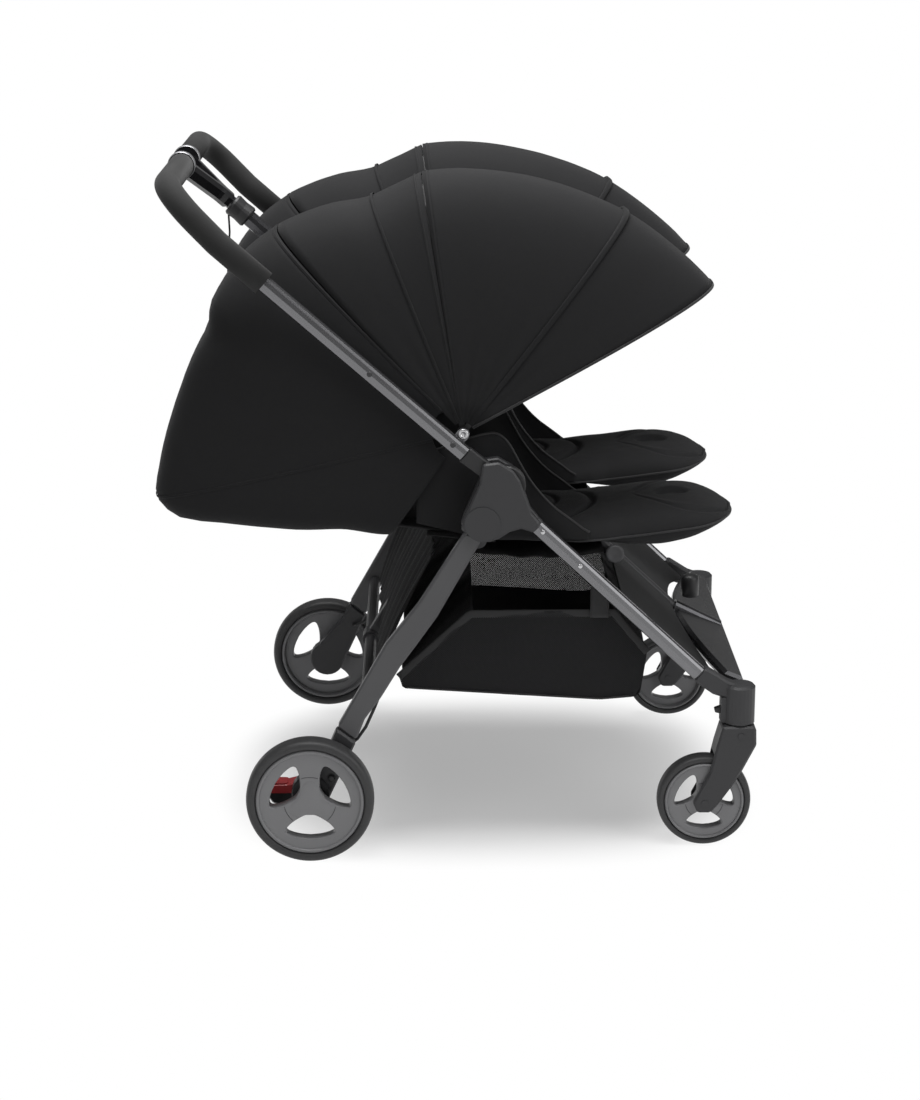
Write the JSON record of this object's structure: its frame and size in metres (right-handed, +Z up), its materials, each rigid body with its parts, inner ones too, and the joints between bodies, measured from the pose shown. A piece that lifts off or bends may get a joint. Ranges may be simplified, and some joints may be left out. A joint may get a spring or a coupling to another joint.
{
  "type": "double stroller",
  "caption": "Side-by-side double stroller with joined curved handle, twin fan-folding hoods, reclining seats, under-seat basket, swivelling front casters and a foot brake.",
  "frame": {"origin": "on the floor, at the middle of the bounding box seen from above", "axes": "+X forward, the way the children's feet point; +Y to the stroller's left; +Z up"},
  "size_m": [0.8919, 0.76, 1.0119],
  "materials": {
    "gunmetal_tube": "satin anodised dark grey tube",
    "dark_moulding": "fine-grained dark grey moulding",
    "black_plastic": "satin black moulding",
    "gloss_black": "gloss black moulding",
    "front_bar_grey": "semi-gloss grey moulding",
    "foot_panel": "matt dark grey sheet",
    "rim_grey": "satin mid-grey moulding",
    "tyre_rubber": "matt soft tyre",
    "grip_foam": "matt closed-cell foam",
    "black_fabric": "woven polyester, matt",
    "seat_padding": "padded woven polyester, matt",
    "pedal_red": "satin red moulding"
  },
  "bodies": {
    "chassis": {"front_leg_right": "gunmetal_tube", "front_leg_left": "gunmetal_tube", "hub_plate_right": "dark_moulding", "hub_plate_left": "dark_moulding", "hub_cover_right": "dark_moulding", "hub_cover_left": "dark_moulding", "foot_panel_right": "foot_panel", "foot_panel_left": "foot_panel", "swivel_housing_right": "dark_moulding", "swivel_housing_left": "dark_moulding", "seat_right": "seat_padding", "seat_left": "seat_padding", "centre_spine": "dark_moulding", "front_bar": "front_bar_grey", "basket": "black_fabric"},
    "upper_frame": {"push_tube_right": "gunmetal_tube", "push_tube_left": "gunmetal_tube", "push_collar_right": "black_plastic", "push_collar_left": "black_plastic", "grip_right": "grip_foam", "grip_left": "grip_foam", "handle_bar": "gunmetal_tube", "handle_yoke": "gloss_black", "centre_tube": "gunmetal_tube", "wrist_strap": "black_fabric"},
    "release_sleeve": {"release_sleeve": "black_plastic"},
    "rear_frame": {"rear_leg_right": "dark_moulding", "rear_leg_left": "dark_moulding", "brake_housing_right": "dark_moulding", "brake_housing_left": "dark_moulding", "rear_crossbar": "dark_moulding", "brake_cable": "black_plastic"},
    "brake_pedal": {"brake_pedal": "pedal_red"},
    "rear_wheel_right": {"rear_rim_right": "rim_grey", "rear_tyre_right": "tyre_rubber"},
    "caster_right": {"fork_right": "dark_moulding"},
    "front_wheel_right": {"front_rim_right": "rim_grey", "front_tyre_right": "tyre_rubber"},
    "swivel_lock_right": {"swivel_lock_right": "black_plastic"},
    "leg_rest_right": {"leg_rest_right": "seat_padding"},
    "back_shell_right": {"back_shell_right": "black_fabric"},
    "backrest_right": {"backrest_right": "seat_padding"},
    "hood_rear_right": {"hood_rear_fabric_right": "black_fabric"},
    "mid_bow_right": {"mid_bow_right": "black_plastic"},
    "hood_front_right": {"hood_front_fabric_right": "black_fabric"},
    "front_bow_right": {"front_bow_right": "black_plastic"},
    "rear_wheel_left": {"rear_rim_left": "rim_grey", "rear_tyre_left": "tyre_rubber"},
    "caster_left": {"fork_left": "dark_moulding"},
    "front_wheel_left": {"front_rim_left": "rim_grey", "front_tyre_left": "tyre_rubber"},
    "swivel_lock_left": {"swivel_lock_left": "black_plastic"},
    "leg_rest_left": {"leg_rest_left": "seat_padding"},
    "back_shell_left": {"back_shell_left": "black_fabric"},
    "backrest_left": {"backrest_left": "seat_padding"},
    "hood_rear_left": {"hood_rear_fabric_left": "black_fabric"},
    "mid_bow_left": {"mid_bow_left": "black_plastic"},
    "hood_front_left": {"hood_front_fabric_left": "black_fabric"},
    "front_bow_left": {"front_bow_left": "black_plastic"}
  },
  "joints": [
    {"name": "frame_fold", "type": "hinge", "parent": "chassis", "child": "upper_frame", "pos_m": [0.07, 0, 0.564], "axis": [0, 1, 0], "range_deg": [0, 154], "deforming": ["wrist_strap"]},
    {"name": "rear_fold", "type": "hinge", "parent": "chassis", "child": "rear_frame", "pos_m": [0.036, 0, 0.509], "axis": [0, 1, 0], "range_deg": [-57.75, 0], "deforming": ["basket"]},
    {"name": "release_slide", "type": "slide", "parent": "upper_frame", "child": "release_sleeve", "axis": [-0.7484, 0, 0.6632], "range_m": [-0.012, 0], "stiffness_N_per_m": 300, "springref_m": 0.01},
    {"name": "brake_press", "type": "hinge", "parent": "rear_frame", "child": "brake_pedal", "pos_m": [-0.219, -0.302, 0.095], "axis": [0, 1, 0], "range_deg": [-20, 0]},
    {"name": "seatback_fold_right", "type": "hinge", "parent": "chassis", "child": "back_shell_right", "pos_m": [0.03, -0.179, 0.478], "axis": [0, 1, 0], "range_deg": [0, 149.19], "deforming": ["back_shell_right"]},
    {"name": "recline_right", "type": "hinge", "parent": "back_shell_right", "child": "backrest_right", "pos_m": [0.03, -0.179, 0.478], "axis": [0, -1, 0], "range_deg": [-58, 0]},
    {"name": "hood_rear_stow_right", "type": "hinge", "parent": "upper_frame", "child": "hood_rear_right", "pos_m": [0.008, -0.179, 0.637], "axis": [0, 1, 0], "range_deg": [-33.69, 0]},
    {"name": "hood_front_stow_right", "type": "hinge", "parent": "upper_frame", "child": "hood_front_right", "pos_m": [0.008, -0.179, 0.637], "axis": [0, 1, 0], "range_deg": [-80.85, 0]},
    {"name": "hood_close_right", "type": "hinge", "parent": "hood_front_right", "child": "front_bow_right", "pos_m": [0.008, -0.179, 0.637], "axis": [0, 1, 0], "range_deg": [-84, 0], "deforming": ["hood_front_fabric_right"]},
    {"name": "hood_mid_close_right", "type": "hinge", "parent": "hood_rear_right", "child": "mid_bow_right", "pos_m": [0.008, -0.179, 0.637], "axis": [0, 1, 0], "range_deg": [-34.99, 0], "deforming": ["hood_rear_fabric_right"]},
    {"name": "leg_rest_right", "type": "hinge", "parent": "chassis", "child": "leg_rest_right", "pos_m": [0.232, -0.179, 0.451], "axis": [0, -1, 0], "range_deg": [-50, 0]},
    {"name": "caster_swivel_right", "type": "hinge", "parent": "chassis", "child": "caster_right", "pos_m": [0.421, -0.302, 0.192], "axis": [0, 0, 1], "continuous": true},
    {"name": "front_wheel_spin_right", "type": "hinge", "parent": "caster_right", "child": "front_wheel_right", "pos_m": [0.371, -0.302, 0.0705], "axis": [0, 1, 0], "continuous": true},
    {"name": "rear_wheel_spin_right", "type": "hinge", "parent": "rear_frame", "child": "rear_wheel_right", "pos_m": [-0.219, -0.362, 0.095], "axis": [0, 1, 0], "continuous": true},
    {"name": "swivel_lock_right", "type": "slide", "parent": "chassis", "child": "swivel_lock_right", "axis": [0, 0, 1], "range_m": [-0.006, 0]},
    {"name": "seatback_fold_left", "type": "hinge", "parent": "chassis", "child": "back_shell_left", "pos_m": [0.03, 0.179, 0.478], "axis": [0, 1, 0], "range_deg": [0, 149.19], "deforming": ["back_shell_left"]},
    {"name": "recline_left", "type": "hinge", "parent": "back_shell_left", "child": "backrest_left", "pos_m": [0.03, 0.179, 0.478], "axis": [0, -1, 0], "range_deg": [-58, 0]},
    {"name": "hood_rear_stow_left", "type": "hinge", "parent": "upper_frame", "child": "hood_rear_left", "pos_m": [0.008, 0.179, 0.637], "axis": [0, 1, 0], "range_deg": [-33.69, 0]},
    {"name": "hood_front_stow_left", "type": "hinge", "parent": "upper_frame", "child": "hood_front_left", "pos_m": [0.008, 0.179, 0.637], "axis": [0, 1, 0], "range_deg": [-80.85, 0]},
    {"name": "hood_close_left", "type": "hinge", "parent": "hood_front_left", "child": "front_bow_left", "pos_m": [0.008, 0.179, 0.637], "axis": [0, 1, 0], "range_deg": [-84, 0], "deforming": ["hood_front_fabric_left"]},
    {"name": "hood_mid_close_left", "type": "hinge", "parent": "hood_rear_left", "child": "mid_bow_left", "pos_m": [0.008, 0.179, 0.637], "axis": [0, 1, 0], "range_deg": [-34.99, 0], "deforming": ["hood_rear_fabric_left"]},
    {"name": "leg_rest_left", "type": "hinge", "parent": "chassis", "child": "leg_rest_left", "pos_m": [0.232, 0.179, 0.451], "axis": [0, -1, 0], "range_deg": [-50, 0]},
    {"name": "caster_swivel_left", "type": "hinge", "parent": "chassis", "child": "caster_left", "pos_m": [0.421, 0.302, 0.192], "axis": [0, 0, 1], "continuous": true},
    {"name": "front_wheel_spin_left", "type": "hinge", "parent": "caster_left", "child": "front_wheel_left", "pos_m": [0.371, 0.302, 0.0705], "axis": [0, 1, 0], "continuous": true},
    {"name": "rear_wheel_spin_left", "type": "hinge", "parent": "rear_frame", "child": "rear_wheel_left", "pos_m": [-0.219, 0.362, 0.095], "axis": [0, 1, 0], "continuous": true},
    {"name": "swivel_lock_left", "type": "slide", "parent": "chassis", "child": "swivel_lock_left", "axis": [0, 0, 1], "range_m": [-0.006, 0]}
  ],
  "couplings": [
    {"joint": "rear_fold", "follows": "frame_fold", "ratio": -0.375},
    {"joint": "seatback_fold_right", "follows": "frame_fold", "ratio": 0.96875},
    {"joint": "hood_rear_stow_right", "follows": "frame_fold", "ratio": -0.21875},
    {"joint": "hood_front_stow_right", "follows": "frame_fold", "ratio": -0.525},
    {"joint": "hood_mid_close_right", "follows": "hood_close_right", "ratio": 0.4166},
    {"joint": "seatback_fold_left", "follows": "frame_fold", "ratio": 0.96875},
    {"joint": "hood_rear_stow_left", "follows": "frame_fold", "ratio": -0.21875},
    {"joint": "hood_front_stow_left", "follows": "frame_fold", "ratio": -0.525},
    {"joint": "hood_mid_close_left", "follows": "hood_close_left", "ratio": 0.4166}
  ]
}
